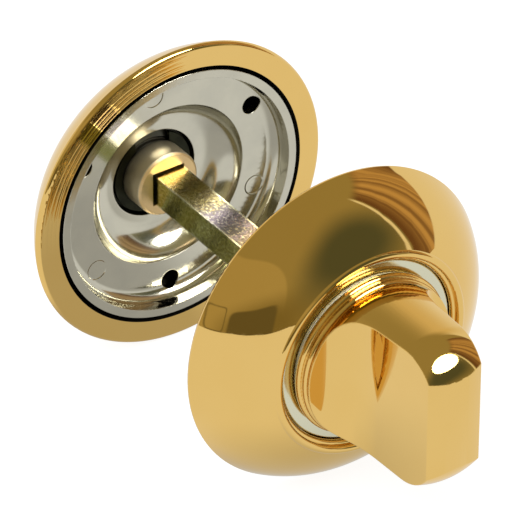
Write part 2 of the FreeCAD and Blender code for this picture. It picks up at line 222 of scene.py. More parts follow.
def polished_gold(graph, place):
    """Base colour, roughness and fine relief of the mirror polished plating."""
    drift = graph.noise(place, GOLD_DRIFT_SCALE, SOFT)
    polish = graph.noise(place, GOLD_POLISH_SCALE, FINE)
    wipe = graph.noise(place, GOLD_WIPE_SCALE, FINEST, GOLD_WIPE_STRETCH)
    rough = graph.math("ADD", graph.ramp(polish, *GOLD_POLISH_ROUGH), graph.ramp(wipe, *GOLD_WIPE_ROUGH))
    return graph.mix(drift, GOLD, GOLD_DEEP), rough, polish


def cover_material(side, outward, offset):
    """A polished cover whose rough raw cast hollow is painted near black as shade, with turning lines on its
    back.
    """
    material, graph = new_material(side + "_cover_gold")
    place, radius, height = cylinder_place(graph, outward, offset)
    base, rough, polish = polished_gold(graph, place)
    drop = graph.math("MULTIPLY", graph.math("SUBTRACT", radius, ROOF_RADIUS), ROOF_SLOPE)
    under = graph.math("LESS_THAN", height, graph.math("SUBTRACT", ROOF_HEIGHT, drop))
    outside_bore = graph.math("GREATER_THAN", radius, BORE_RADIUS)
    inside_rim = graph.math("LESS_THAN", radius, HOLLOW_RADIUS)
    shaded_hollow = graph.both(under, graph.both(inside_rim, outside_bore))
    # Painted shade: the hollow under the roof is coloured near black.
    base = graph.mix(shaded_hollow, base, CAST_HOLLOW_SHADE)
    rough = graph.math("MAXIMUM", rough, graph.math("MULTIPLY", shaded_hollow, RAW_CAST_ROUGH))
    lines = graph.stripes(radius, TURNING_SCALE, SOFT)
    turning = graph.both(lines, graph.ramp(height, *LAND_EDGE))
    fine = graph.bump(polish, GOLD_POLISH_BUMP, FINE_DEPTH)
    graph.surface(base, METAL, rough, graph.bump(turning, 1.0, TURNING_DEPTH, fine))
    return material


def handle_material(name, outward, offset):
    """The polished knob or button, with a hub that is left unpolished and painted near black as shade down in
    the clip's pit.
    """
    material, graph = new_material(name)
    place, radius, height = cylinder_place(graph, outward, offset)
    base, rough, polish = polished_gold(graph, place)
    hub = graph.both(graph.math("LESS_THAN", radius, HUB_RADIUS), graph.math("LESS_THAN", height, HUB_HEIGHT))
    tone = graph.mix(graph.math("LESS_THAN", height, HUB_FACE_HEIGHT), HUB_SIDE, HUB_FACE)
    stain = graph.noise(place, HUB_STAIN_SCALE, FINE)
    tone = graph.mix(graph.ramp(stain, *HUB_STAIN_SHARE), tone, HUB_STAIN)
    # Painted shade deep in the clip's pit.
    tone = graph.mix(graph.ramp(height, *HUB_PIT_SHADE_SHARE), tone, HUB_PIT_SHADE)
    base = graph.mix(hub, base, tone)
    rough = graph.math("MAXIMUM", rough, graph.math("MULTIPLY", hub, HUB_ROUGH))
    rounded = graph.round_edges(GOLD_EDGE_ROUND)
    graph.surface(base, METAL, rough, graph.bump(polish, GOLD_POLISH_BUMP, FINE_DEPTH, rounded))
    return material


# Nickel plating of the base plates. The boss is the ring that shows round the knob's collar; its paler,
# yellower tone is painted light thrown on it by the gold collar.
NICKEL = colour(0.57, 0.545, 0.44)
NICKEL_DULL = colour(0.52, 0.50, 0.41)
NICKEL_CLOUD_SCALE = 160.0
NICKEL_DULL_SHARE = (0.35, 0.7, 0.0, 1.0)
NICKEL_CLOUD_ROUGH = (0.3, 0.7, 0.10, 0.14)
NICKEL_GRAIN_SCALE = 3200.0
NICKEL_GRAIN_ROUGH = (0.3, 0.7, 0.0, 0.03)
NICKEL_GRAIN_BUMP = 0.08
NICKEL_EDGE_ROUND = 0.2 * MM
BOSS_GOLD_BOUNCE = colour(0.66, 0.64, 0.47)
BOSS_HEIGHT = 7.9 * MM
# Painted shade: the clip's pit round the hub is coloured near black.
PIT_SHADE = colour(0.040, 0.040, 0.018)
PIT_ROUGH = 0.4
PIT_RADIUS = 7.32 * MM
PIT_HEIGHT = 7.35 * MM

# Ejector marks in the flat ring of a base plate.
MARK_CIRCLE = 16.4 * MM
MARK_RADIUS = 1.6 * MM
MARK_EDGE = 0.12 * MM
MARK_DEPTH = 0.08 * MM
MARK_ANGLES = (98.5, 218.5, 338.5)
RING_HEIGHT = 3.6 * MM


def ejector_marks(graph, place, height):
    """1 inside the round marks that the casting's ejector pins leave in the flat ring, and 0 elsewhere."""
    parts = graph.add("ShaderNodeSeparateXYZ", {}, Vector=place)
    marks = 0.0
    for angle in MARK_ANGLES:
        across = graph.math("SUBTRACT", parts.outputs["X"], MARK_CIRCLE * math.cos(math.radians(angle)))
        upward = graph.math("SUBTRACT", parts.outputs["Z"], MARK_CIRCLE * math.sin(math.radians(angle)))
        squares = graph.math("ADD", graph.math("POWER", across, 2.0), graph.math("POWER", upward, 2.0))
        reach = graph.math("SQRT", squares)
        inside = graph.ramp(reach, MARK_RADIUS - MARK_EDGE, MARK_RADIUS + MARK_EDGE, 1.0, 0.0)
        marks = graph.math("MAXIMUM", marks, inside)
    return graph.both(marks, graph.math("LESS_THAN", height, RING_HEIGHT))


def nickel_material(side, outward, offset):
    """Bright nickel over a smooth casting, a little cloudy. The clip's pit is painted near black as shade."""
    material, graph = new_material(side + "_nickel")
    place, radius, height = cylinder_place(graph, outward, offset)
    cloud = graph.noise(place, NICKEL_CLOUD_SCALE, FINE)
    grain = graph.noise(place, NICKEL_GRAIN_SCALE, EVEN)
    base = graph.mix(graph.ramp(cloud, *NICKEL_DULL_SHARE), NICKEL, NICKEL_DULL)
    # Painted bounce light from the gold collar on the boss.
    base = graph.mix(graph.math("GREATER_THAN", height, BOSS_HEIGHT), base, BOSS_GOLD_BOUNCE)
    rough = graph.math("ADD", graph.ramp(cloud, *NICKEL_CLOUD_ROUGH), graph.ramp(grain, *NICKEL_GRAIN_ROUGH))
    deep = graph.math("GREATER_THAN", height, PIT_HEIGHT)
    # Painted shade in the clip's pit.
    shaded_pit = graph.both(graph.math("LESS_THAN", radius, PIT_RADIUS), deep)
    base = graph.mix(shaded_pit, base, PIT_SHADE)
    rough = graph.math("MAXIMUM", rough, graph.math("MULTIPLY", shaded_pit, PIT_ROUGH))
    normal = graph.bump(grain, NICKEL_GRAIN_BUMP, FINE_DEPTH, graph.round_edges(NICKEL_EDGE_ROUND))
    sunk = graph.math("MULTIPLY", ejector_marks(graph, place, height), -1.0)
    graph.surface(base, METAL, rough, graph.bump(sunk, 1.0, MARK_DEPTH, normal))
    return material


# Tones along the spindle's flat top, from the release hub to the thumb turn, as shares of the open length.
# They are partly the passivation's own tints and partly painted sheen and shade of what the top mirrors.
ZINC_TOP_TINT_AND_SHEEN = (
    (0.00, colour(0.78, 0.60, 0.20)),
    (0.07, colour(0.74, 0.58, 0.27)),
    (0.14, colour(0.42, 0.38, 0.13)),
    (0.24, colour(0.40, 0.33, 0.18)),
    (0.36, colour(0.24, 0.20, 0.14)),
    (0.43, colour(0.21, 0.185, 0.20)),
    (0.51, colour(0.25, 0.21, 0.29)),
    (0.60, colour(0.15, 0.135, 0.15)),
    (0.74, colour(0.080, 0.070, 0.055)),
    (0.86, colour(0.115, 0.098, 0.092)),
    (1.00, colour(0.105, 0.112, 0.060)),
)
ZINC_TOP_START = 41.0 * MM
ZINC_TOP_LENGTH = 31.0 * MM
ZINC_TOP_DRIFT = (0.3, 0.7, -0.07, 0.07)
ZINC_TOP_SPECK = (0.3, 0.7, -0.06, 0.06)
ZINC_LEVEL = (0.55, 0.8, 0.0, 1.0)
ZINC_SIDE = colour(0.40, 0.41, 0.12)
ZINC_SIDE_DARK = colour(0.31, 0.32, 0.075)
ZINC_SIDE_SHARE = (0.35, 0.65, 0.0, 1.0)
# The bare zinc of the worn edges, also used as the colour of painted glints.
ZINC_WORN_AND_GLINT = colour(0.80, 0.82, 0.66)
ZINC_PORE = colour(0.10, 0.09, 0.035)
ZINC_PATCH_SCALE = 420.0
ZINC_PATCH_STRETCH = (0.7, 1.0, 0.7)
ZINC_SPECK_SCALE = 2600.0
ZINC_SPECK_ROUGH = (0.3, 0.7, 0.17, 0.27)
ZINC_SPECK_BUMP = 0.16
ZINC_SCRATCH_SCALE = 900.0
ZINC_SCRATCH_STRETCH = (3.0, 0.25, 3.0)
ZINC_SCRATCH_WEAR = (0.35, 0.65, 0.15, 0.9)
# Painted glints: bright specks laid into the colour, and dark pores.
ZINC_GLINT_SCALE = 3000.0
ZINC_GLINT_STRETCH = (1.0, 0.6, 1.0)
ZINC_GLINT_BRIGHT = (0.52, 0.66, 0.0, 0.30)
ZINC_GLINT_PORE = (0.34, 0.48, 0.45, 0.0)
SPINDLE_SHIFT = 0.2 * MM
SPINDLE_EDGE = (2.12 * MM, 2.36 * MM, 0.0, 1.0)


def zinc_top_tint_and_sheen(graph, along):
    """The tones of the spindle's top by their place along it, partly its own tints and partly painted sheen
    and shade.
    """
    bands = graph.add("ShaderNodeValToRGB", {}, Fac=along)
    stops = bands.color_ramp.elements
    stops[0].position, stops[0].color = ZINC_TOP_TINT_AND_SHEEN[0]
    stops[1].position, stops[1].color = ZINC_TOP_TINT_AND_SHEEN[-1]
    for position, shade in ZINC_TOP_TINT_AND_SHEEN[1:-1]:
        stops.new(position).color = shade
    return bands.outputs["Color"]


def zinc_material():
    """Yellow passivated zinc on a drawn square bar.

    Its sides are olive; its top goes through gold, brown and pink, partly the passivation's own tints and
    partly painted sheen and shade, with painted glints; its edges are worn.
    """
    material, graph = new_material("yellow_zinc")
    coordinates = graph.add("ShaderNodeTexCoord")
    place = coordinates.outputs["Object"]
    parts = graph.add("ShaderNodeSeparateXYZ", {}, Vector=place)
    facing = graph.add("ShaderNodeSeparateXYZ", {}, Vector=coordinates.outputs["Normal"])
    patch = graph.noise(place, ZINC_PATCH_SCALE, EVEN, ZINC_PATCH_STRETCH)
    speck = graph.noise(place, ZINC_SPECK_SCALE, FINE)
    scratch = graph.noise(place, ZINC_SCRATCH_SCALE, FINE, ZINC_SCRATCH_STRETCH)
    glint = graph.noise(place, ZINC_GLINT_SCALE, SOFT, ZINC_GLINT_STRETCH)
    along = graph.math("SUBTRACT", ZINC_TOP_START, parts.outputs["Y"])
    along = graph.math("DIVIDE", along, ZINC_TOP_LENGTH)
    along = graph.math("ADD", along, graph.ramp(patch, *ZINC_TOP_DRIFT))
    along = graph.math("ADD", along, graph.ramp(speck, *ZINC_TOP_SPECK))
    side = graph.mix(graph.ramp(patch, *ZINC_SIDE_SHARE), ZINC_SIDE, ZINC_SIDE_DARK)
    # The top face takes other tones than the sides, partly as painted sheen and shade.
    level = graph.ramp(graph.math("ABSOLUTE", facing.outputs["Z"]), *ZINC_LEVEL)
    base = graph.mix(level, side, zinc_top_tint_and_sheen(graph, along))
    across = graph.math("ABSOLUTE", graph.math("SUBTRACT", parts.outputs["X"], SPINDLE_SHIFT))
    upward = graph.math("ABSOLUTE", graph.math("ADD", parts.outputs["Z"], SPINDLE_SHIFT))
    edge = graph.ramp(graph.math("MINIMUM", across, upward), *SPINDLE_EDGE)
    base = graph.mix(graph.both(edge, graph.ramp(scratch, *ZINC_SCRATCH_WEAR)), base, ZINC_WORN_AND_GLINT)
    # Painted glints: bright specks mixed into the colour.
    base = graph.mix(graph.ramp(glint, *ZINC_GLINT_BRIGHT), base, ZINC_WORN_AND_GLINT)
    base = graph.mix(graph.ramp(glint, *ZINC_GLINT_PORE), base, ZINC_PORE)
    rough = graph.ramp(speck, *ZINC_SPECK_ROUGH)
    graph.surface(base, METAL, rough, graph.bump(speck, ZINC_SPECK_BUMP, FINE_DEPTH))
    return material


# The small hidden pieces: two close tones, how metallic they are, and how the roughness follows the cloud.
PLAIN_CLOUD_SCALE = 500.0
PLAIN_CLOUD_BUMP = 0.1
NYLON = (colour(0.78, 0.76, 0.68), colour(0.72, 0.70, 0.62), NO_METAL, (0.3, 0.7, 0.45, 0.6))
SPRING_STEEL = (colour(0.10, 0.10, 0.08), colour(0.06, 0.06, 0.05), METAL, (0.3, 0.7, 0.3, 0.45))
BLACK_STEEL = (colour(0.030, 0.032, 0.016), colour(0.012, 0.012, 0.010), METAL, (0.3, 0.7, 0.3, 0.5))


def plain_material(name, tone, second_tone, metallic, cloud_rough):
    """The material of a small hidden piece."""
    material, graph = new_material(name)
    place = graph.add("ShaderNodeTexCoord").outputs["Object"]
    cloud = graph.noise(place, PLAIN_CLOUD_SCALE, FINE)
    base = graph.mix(cloud, tone, second_tone)
    rough = graph.ramp(cloud, *cloud_rough)
    graph.surface(base, metallic, rough, graph.bump(cloud, PLAIN_CLOUD_BUMP, FINE_DEPTH))
    return material


def dress(node_name, material):
    """Give a CAD node its material."""
    slots = nodes[node_name].data.materials
    slots.clear()
    slots.append(material)


def dress_nodes():
    """Give every CAD node its material."""
    nylon = plain_material("nylon", *NYLON)
    spring_steel = plain_material("spring_steel", *SPRING_STEEL)
    black_steel = plain_material("black_steel", *BLACK_STEEL)
    dress("spindle", zinc_material())
    for side, outward, offset in (TURN_SIDE, RELEASE_SIDE):
        dress(side + "_cover", cover_material(side, outward, offset))
        dress(side + "_base_plate", nickel_material(side, outward, offset))
        dress(side + "_thrust_washer", nylon)
        dress(side + "_spring_washer", spring_steel)
        dress(side + "_circlip", black_steel)
    dress("turn_knob", handle_material("turn_knob_gold", *TURN_SIDE[1:]))
    dress("release_button", handle_material("release_button_gold", *RELEASE_SIDE[1:]))


# Two pieces have finer forms than their solids, as the photograph shows them. Heights are above the
# door face.
TURNED_STEPS = 256
ARC_STEPS = 28
SMOOTH_ANGLE = math.radians(14.0)
SEAM = 0.001 * MM
SLIVER = 0.012 * MM


def steps_between(start, end):
    """Even steps along an arc, with both its ends."""
    return [start + (end - start) * index / ARC_STEPS for index in range(ARC_STEPS + 1)]


def solid_object(name, points, faces):
    """A closed mesh with its faces turned outward."""
    mesh = bpy.data.meshes.new(name)
    mesh.from_pydata(points, [], faces)
    shell = bmesh.new()
    shell.from_mesh(mesh)
    bmesh.ops.recalc_face_normals(shell, faces=shell.faces)
    shell.to_mesh(mesh)
    shell.free()
    solid = bpy.data.objects.new(name, mesh)
    scene.collection.objects.link(solid)
    return solid


def prism(name, outline, half_length):
    """A solid on the turn side: an outline drawn across X and height, run out along Z to both sides."""
    count = len(outline)
    points = [(x, -height, z) for z in (-half_length, half_length) for x, height in outline]
    faces = [tuple(range(count)), tuple(range(count, 2 * count))]
    for index in range(count):
        after = (index + 1) % count
        faces.append((index, after, count + after, count + index))
    return solid_object(name, points, faces)


def turned_points(profile, outward, offset):
    """A profile of radius and height, repeated round the spindle axis."""
    points = []
    for step in range(TURNED_STEPS):
        turn = 2.0 * math.pi * step / TURNED_STEPS
        points += [(radius * math.cos(turn), offset + outward * height, radius * math.sin(turn))
                   for radius, height in profile]
    return points


def turned_solid(name, profile, foot, head):
    """A solid on the turn side: a profile of radius and height, closed on the axis at both its ends."""
    count = len(profile)
    points = [(0.0, -foot, 0.0), (0.0, -head, 0.0)] + turned_points(profile, *TURN_SIDE[1:])
    faces = []
    for step in range(TURNED_STEPS):
        here = 2 + step * count
        there = 2 + (step + 1) % TURNED_STEPS * count
        faces.append((0, here, there))
        faces.append((1, there + count - 1, here + count - 1))
        faces += [(here + row, here + row + 1, there + row + 1, there + row) for row in range(count - 1)]
    return solid_object(name, points, faces)


def turned_ring(name, profile, outward, offset):
    """A ring: a closed profile of radius and height, turned round the spindle axis."""
    count = len(profile)
    faces = []
    for step in range(TURNED_STEPS):
        here = step * count
        there = (step + 1) % TURNED_STEPS * count
        for row in range(count):
            after = (row + 1) % count
            faces.append((here + row, here + after, there + after, there + row))
    return solid_object(name, turned_points(profile, outward, offset), faces)


def weld(mesh, distance):
    """Join points that lie closer than a distance, and drop the faces that this leaves without area."""
    shell = bmesh.new()
    shell.from_mesh(mesh)
    bmesh.ops.remove_doubles(shell, verts=shell.verts, dist=distance)
    bmesh.ops.dissolve_degenerate(shell, edges=shell.edges, dist=distance)
    shell.to_mesh(mesh)
    shell.free()


def combine(solid, operation, other):
    """Join two solids, cut one by the other or keep what they share. The other solid is used up."""
    modifier = solid.modifiers.new(operation, "BOOLEAN")
    modifier.operation = operation
    modifier.solver = "EXACT"
    modifier.object = other
    graph = bpy.context.evaluated_depsgraph_get()
    result = bpy.data.meshes.new_from_object(solid.evaluated_get(graph))
    solid.modifiers.clear()
    solid.data = result
    bpy.data.objects.remove(other)


def node_copy(node_name, piece_name):
    """A new piece that starts as a closed copy of a CAD node's mesh."""
    source = nodes[node_name]
    piece = bpy.data.objects.new(piece_name, source.data.copy())
    piece.data.transform(source.matrix_world)
    scene.collection.objects.link(piece)
    weld(piece.data, SEAM)
    return piece


def finish_piece(piece, node_name, body):
    """Dress a piece like the node that it stands for, and let it ride on that node's body."""
    weld(piece.data, SLIVER)
    piece.data.materials.clear()
    piece.data.materials.append(nodes[node_name].data.materials[0])
    piece.data.shade_smooth()
    piece.data.set_sharp_from_angle(angle=SMOOTH_ANGLE)
    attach(piece, body)
    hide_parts(node_name)
    return piece


# The blade of the thumb turn, with scoops that turn in on a small radius and run out on a large one.
# The other sizes are the solid's. The neck is cut just under the scoops, where the blade is put on.
BLADE_RADIUS = 12.2 * MM
BLADE_TIP_RADIUS = 6.6 * MM
BLADE_TIP_FOOT = 23.5 * MM
BLADE_END_HALF_WIDTH = 4.5 * MM
BLADE_END_HEIGHT = 28.95 * MM
BLADE_END_RADIUS = 11.5 * MM
BLADE_TAPER = 0.06
NECK_CUT = 11.5 * MM
SCOOP_FOOT = 11.65 * MM
SCOOP_RADIUS = 4.3 * MM
SCOOP_RUN_RADIUS = 12.0 * MM
SCOOP_TURN = math.radians(68.0)
SOCKET_HALF = 2.75 * MM
SOCKET_HEAD = 20.3 * MM
CLEAR = 14.0 * MM


def arc_points(centre, radius, start, end):
    """Points of an arc across X and height. The angle is measured from straight down towards -X."""
    return [(centre[0] - radius * math.sin(turn), centre[1] - radius * math.cos(turn))
            for turn in steps_between(start, end)]


def scoop_side():
    """The blade's outline on its +X side, from the neck's cut up to where its sides run straight."""
    taper = math.atan(BLADE_TAPER)
    middle_height = SCOOP_FOOT + SCOOP_RADIUS * (1.0 - math.cos(SCOOP_TURN))
    head_height = middle_height + SCOOP_RUN_RADIUS * (math.cos(SCOOP_TURN) - math.sin(taper))
    half_width = BLADE_END_HALF_WIDTH + (BLADE_END_HEIGHT - head_height) * BLADE_TAPER
    middle_width = half_width + SCOOP_RUN_RADIUS * (math.cos(taper) - math.sin(SCOOP_TURN))
    foot_centre = (middle_width + SCOOP_RADIUS * math.sin(SCOOP_TURN), SCOOP_FOOT + SCOOP_RADIUS)
    run_centre = (middle_width + SCOOP_RUN_RADIUS * math.sin(SCOOP_TURN),
                  middle_height + SCOOP_RUN_RADIUS * math.cos(SCOOP_TURN))
    foot = arc_points(foot_centre, SCOOP_RADIUS, 0.0, SCOOP_TURN)
    run = arc_points(run_centre, SCOOP_RUN_RADIUS, SCOOP_TURN, math.pi / 2 - taper)
    return [(CLEAR, NECK_CUT), (CLEAR, SCOOP_FOOT)] + foot + run[1:]


def blade_outline():
    """The closed outline of the blade, with its rounded end."""
    side = scoop_side()
    half_angle = math.asin(BLADE_END_HALF_WIDTH / BLADE_END_RADIUS)
    centre = (0.0, BLADE_END_HEIGHT - BLADE_END_RADIUS * math.cos(half_angle))
    end = arc_points(centre, BLADE_END_RADIUS, math.pi + half_angle, math.pi - half_angle)
    return side + end + [(-across, height) for across, height in reversed(side)]


def box_outline(half_width, foot, head):
    """A rectangle across X and height."""
    return [(-half_width, foot), (half_width, foot), (half_width, head), (-half_width, head)]


def make_blade():
    """A turned body with a rounded tip, cut to the blade's outline and hollowed by the spindle's socket."""
    tip_centre = BLADE_RADIUS - BLADE_TIP_RADIUS
    tip = [(tip_centre + BLADE_TIP_RADIUS * math.cos(turn),
            BLADE_TIP_FOOT + BLADE_TIP_RADIUS * math.sin(turn))
           for turn in steps_between(0.0, math.pi / 2)]
    blade = turned_solid("blade", [(BLADE_RADIUS, NECK_CUT)] + tip, NECK_CUT, tip[-1][1])
    combine(blade, "INTERSECT", prism("blade_form", blade_outline(), CLEAR))
    socket = box_outline(SOCKET_HALF, NECK_CUT - CLEAR, SOCKET_HEAD)
    combine(blade, "DIFFERENCE", prism("socket_form", socket, SOCKET_HALF))
    return blade


def make_knob():
    """The thumb turn: the solid's hub and collar, under a blade with the finer scoops."""
    knob = node_copy("turn_knob", "thumb_turn")
    above = box_outline(CLEAR, NECK_CUT, NECK_CUT + 2 * CLEAR)
    combine(knob, "DIFFERENCE", prism("above_form", above, CLEAR))
    combine(knob, "UNION", make_blade())
    return finish_piece(knob, "turn_knob", "knob")


# The bowl of the release side's base plate, with a wall that curves over more of its floor. The lining
# starts just under the solid's floor and ends just under its flat ring, so that it meets both in clean lines.
BOWL_RADIUS = 13.2 * MM
BOWL_DEPTH = 7.204 * MM
BOWL_WALL_HEAD = 3.37 * MM
BOWL_REACH = 5.2 * MM
BOWL_SINK = 0.3 * MM


def bowl_lining(side, outward, offset):
    """A ring that fills the corner of a bowl, sunk a little into the plate behind it."""
    rise = BOWL_DEPTH - BOWL_WALL_HEAD
    radius = (BOWL_REACH ** 2 + rise ** 2) / (2.0 * rise)
    foot = BOWL_RADIUS - BOWL_REACH
    back = BOWL_RADIUS + BOWL_SINK
    profile = [(foot + radius * math.sin(turn), BOWL_DEPTH - radius * (1.0 - math.cos(turn)))
               for turn in steps_between(0.0, math.asin(BOWL_REACH / radius))]
    profile.append((back, BOWL_WALL_HEAD + BOWL_SINK))
    profile.append((back, BOWL_DEPTH + BOWL_SINK))
    profile.append((foot, BOWL_DEPTH + BOWL_SINK))
    return turned_ring(side + "_bowl_lining", profile, outward, offset)


def make_plate(side, outward, offset):
    """A base plate: the solid's, with the wider bowl wall."""
    plate = node_copy(side + "_base_plate", side + "_dished_plate")
    combine(plate, "UNION", bowl_lining(side, outward, offset))
    return finish_piece(plate, side + "_base_plate", side + "_rose")


# The room as polished metal sees it. Directions are given as longitude, 0 towards -Y and growing
# towards +X, and latitude above the horizon, both in degrees.
ROOM = colour(0.365, 0.315, 0.165)
PANEL = colour(0.47, 0.40, 0.22)
PANEL_FOOT = colour(0.23, 0.19, 0.08)
CHEST = colour(0.150, 0.130, 0.068)
FLAG = colour(0.10, 0.112, 0.08)
WOOD = colour(0.62, 0.42, 0.21)
WOOD_DARK = colour(0.17, 0.09, 0.045)
BACKDROP = colour(0.93, 0.93, 0.93)
BACKDROP_WARM = colour(0.78, 0.67, 0.45)
FILL_STRENGTH = 0.6

# An oval is its centre, its half size, its softness as a share of that, and its squareness: 2 is a true oval,
# and a high number makes a box of it.
PANEL_OVAL = ((-70.0, 0.0), (52.0, 45.0), 0.02, 3.0)
PANEL_FOOT_OVAL = ((-35.0, -3.0), (34.0, 18.0), 0.5, 2.0)
CRATE_OVAL = ((-75.0, 7.0), (9.0, 7.6), 0.04, 8.0)
CRATE_HOLLOW_OVAL = ((-75.0, 7.0), (8.0, 6.8), 0.04, 8.0)
CRATE_SHARE = 0.7
CHEST_OVAL = ((-43.0, 2.0), (19.5, 10.5), 0.07, 6.0)
FLAG_OVAL = ((22.0, 22.0), (29.0, 26.0), 0.5, 2.0)

# A band is its two ends and its softness. The wood is a door that leans a little, with a pale gap beside it.
WOOD_LEAN = 0.12
WOOD_TALL_BAND = (-12.0, 52.0, 4.0)
WOOD_FRAME_BAND = (49.5, 98.0, 0.6)
WOOD_PLANK_BAND = (57.0, 92.0, 6.0)
WOOD_GAP_BAND = (46.5, 48.5, 0.5)
WOOD_GRAIN_SCALE = 0.22
WOOD_GRAIN_SHARE = (0.25, 0.65, 0.25, 1.0)

# The white backdrop begins on a slanted edge on the right, closes behind and ends on the left.
BACKDROP_EDGE = 70.0
BACKDROP_SLANT = 1.12
BACKDROP_RIGHT = (-1.0, 1.0, 0.0, 1.0)
BACKDROP_LEFT = (-103.0, -97.0, 1.0, 0.0)
BACKDROP_TOP = (32.0, 52.0, 1.0, 0.0)
BEHIND_RIGHT = (105.0, 130.0, 0.0, 1.0)
BEHIND_LEFT = (-130.0, -105.0, 1.0, 0.0)
WARM_RISE = (2.0, 34.0, 0.0, 1.0)


def oval(graph, across, upward, centre, half_size, softness, squareness):
    """1 inside an oval, falling to 0 over a share of its size."""
    across = graph.math("DIVIDE", graph.math("SUBTRACT", across, centre[0]), half_size[0])
    upward = graph.math("DIVIDE", graph.math("SUBTRACT", upward, centre[1]), half_size[1])
    across = graph.math("POWER", graph.math("ABSOLUTE", across), squareness)
    upward = graph.math("POWER", graph.math("ABSOLUTE", upward), squareness)
    reach = graph.math("POWER", graph.math("ADD", across, upward), 1.0 / squareness)
    return graph.ramp(reach, 1.0 - softness, 1.0 + softness, 1.0, 0.0)


def band(graph, value, low, high, softness):
    """1 between low and high."""
    rise = graph.ramp(value, low - softness, low + softness)
    fall = graph.ramp(value, high - softness, high + softness, 1.0, 0.0)
    return graph.both(rise, fall)


def view_direction(graph):
    """Longitude and latitude of the direction that a ray leaves in."""
    way = graph.add("ShaderNodeTexCoord").outputs["Generated"]
    parts = graph.add("ShaderNodeSeparateXYZ", {}, Vector=way)
    forward = graph.math("MULTIPLY", parts.outputs["Y"], -1.0)
    degrees = 180.0 / math.pi
    longitude = graph.math("MULTIPLY", graph.math("ARCTAN2", parts.outputs["X"], forward), degrees)
    latitude = graph.math("MULTIPLY", graph.math("ARCSINE", parts.outputs["Z"]), degrees)
    return longitude, latitude


def add_furniture(graph, seen, longitude, latitude):
    """The panel on the left behind a crate and a chest, and the dark flag under the round lamp."""
    place = (graph, longitude, latitude)
    seen = graph.mix(oval(*place, *PANEL_OVAL), seen, PANEL)
    seen = graph.mix(oval(*place, *PANEL_FOOT_OVAL), seen, PANEL_FOOT)
    rim = graph.math("SUBTRACT", oval(*place, *CRATE_OVAL), oval(*place, *CRATE_HOLLOW_OVAL))
    seen = graph.mix(graph.math("MULTIPLY", rim, CRATE_SHARE), seen, CHEST)
    seen = graph.mix(oval(*place, *CHEST_OVAL), seen, CHEST)
    return graph.mix(oval(*place, *FLAG_OVAL), seen, FLAG)


def add_wood(graph, seen, longitude, latitude):
    """The wooden door on the right: a dark frame, a grained plank and the pale gap."""
    slant = graph.math("SUBTRACT", longitude, graph.math("MULTIPLY", latitude, WOOD_LEAN))
    tall = band(graph, latitude, *WOOD_TALL_BAND)
    grain = graph.stripes(slant, WOOD_GRAIN_SCALE, FINE)
    plank = graph.mix(graph.ramp(grain, *WOOD_GRAIN_SHARE), WOOD_DARK, WOOD)
    for edges, tone in ((WOOD_FRAME_BAND, WOOD_DARK), (WOOD_PLANK_BAND, plank), (WOOD_GAP_BAND, BACKDROP)):
        seen = graph.mix(graph.both(band(graph, slant, *edges), tall), seen, tone)
    return seen


def add_backdrop(graph, seen, longitude, latitude):
    """The white backdrop, warmer where it is behind the part and high up."""
    edge = graph.math("ADD", BACKDROP_EDGE, graph.math("MULTIPLY", latitude, BACKDROP_SLANT))
    right = graph.ramp(graph.math("SUBTRACT", longitude, edge), *BACKDROP_RIGHT)
    backdrop = graph.math("MAXIMUM", right, graph.ramp(longitude, *BACKDROP_LEFT))
    backdrop = graph.both(backdrop, graph.ramp(latitude, *BACKDROP_TOP))
    behind = graph.math("MAXIMUM", graph.ramp(longitude, *BEHIND_RIGHT), graph.ramp(longitude, *BEHIND_LEFT))
    warm = graph.both(behind, graph.ramp(latitude, *WARM_RISE))
    return graph.mix(backdrop, seen, graph.mix(warm, BACKDROP, BACKDROP_WARM))


def switch(graph, factor, first, second):
    """A shader that changes from first to second."""
    node = graph.add("ShaderNodeMixShader")
    for socket, item in zip(node.inputs, (factor, first.outputs[0], second.outputs[0])):
        graph.feed(socket, item)
    return node


def make_world():
    """White to the camera, an even fill to matt surfaces, and the room to polished ones."""
    world = bpy.data.worlds.new("room")
    scene.world = world
    world.use_nodes = True
    graph = Graph(world.node_tree)
    longitude, latitude = view_direction(graph)
    seen = add_furniture(graph, ROOM, longitude, latitude)
    seen = add_wood(graph, seen, longitude, latitude)
    seen = add_backdrop(graph, seen, longitude, latitude)
    path = graph.add("ShaderNodeLightPath")
    room = graph.add("ShaderNodeBackground", {}, Color=seen, Strength=1.0)
    white = graph.add("ShaderNodeBackground", {}, Color=WHITE, Strength=1.0)
    fill = graph.add("ShaderNodeBackground", {}, Color=WHITE, Strength=FILL_STRENGTH)
    plain = switch(graph, path.outputs["Is Camera Ray"], fill, white)
    whole = switch(graph, path.outputs["Is Glossy Ray"], plain, room)
    graph.add("ShaderNodeOutputWorld", {}, Surface=whole.outputs[0])


# The white surface under the part. What polished metal sees of it is darker under the thumb turn's rose and
# between the two roses, where the lamp does not reach.
STAGE_STRENGTH = 0.89
STAGE_MATT = colour(0.25, 0.25, 0.25)
TABLE_SHADE = colour(0.58, 0.57, 0.55)
TABLE_SHADE_LEAN = 0.22
TABLE_SHADE_ACROSS = (-19 * MM, 16 * MM, 6 * MM)
TABLE_SHADE_ALONG = (2 * MM, 50 * MM, 9 * MM)
# Painted contact shadow under the thumb turn's rose.
TABLE_CONTACT_SHADE = colour(0.70, 0.70, 0.68)
TABLE_CONTACT_SHADE_OVAL = ((0.0, -4 * MM), (22 * MM, 16 * MM), 0.6, 2.0)
FLOOR_LEVEL = -25.03 * MM
FLOOR_HALF = 6.0
TABLE_FRONT = math.radians(28.0)
TABLE_REACH = 0.25
TABLE_DEPTH = 3.0


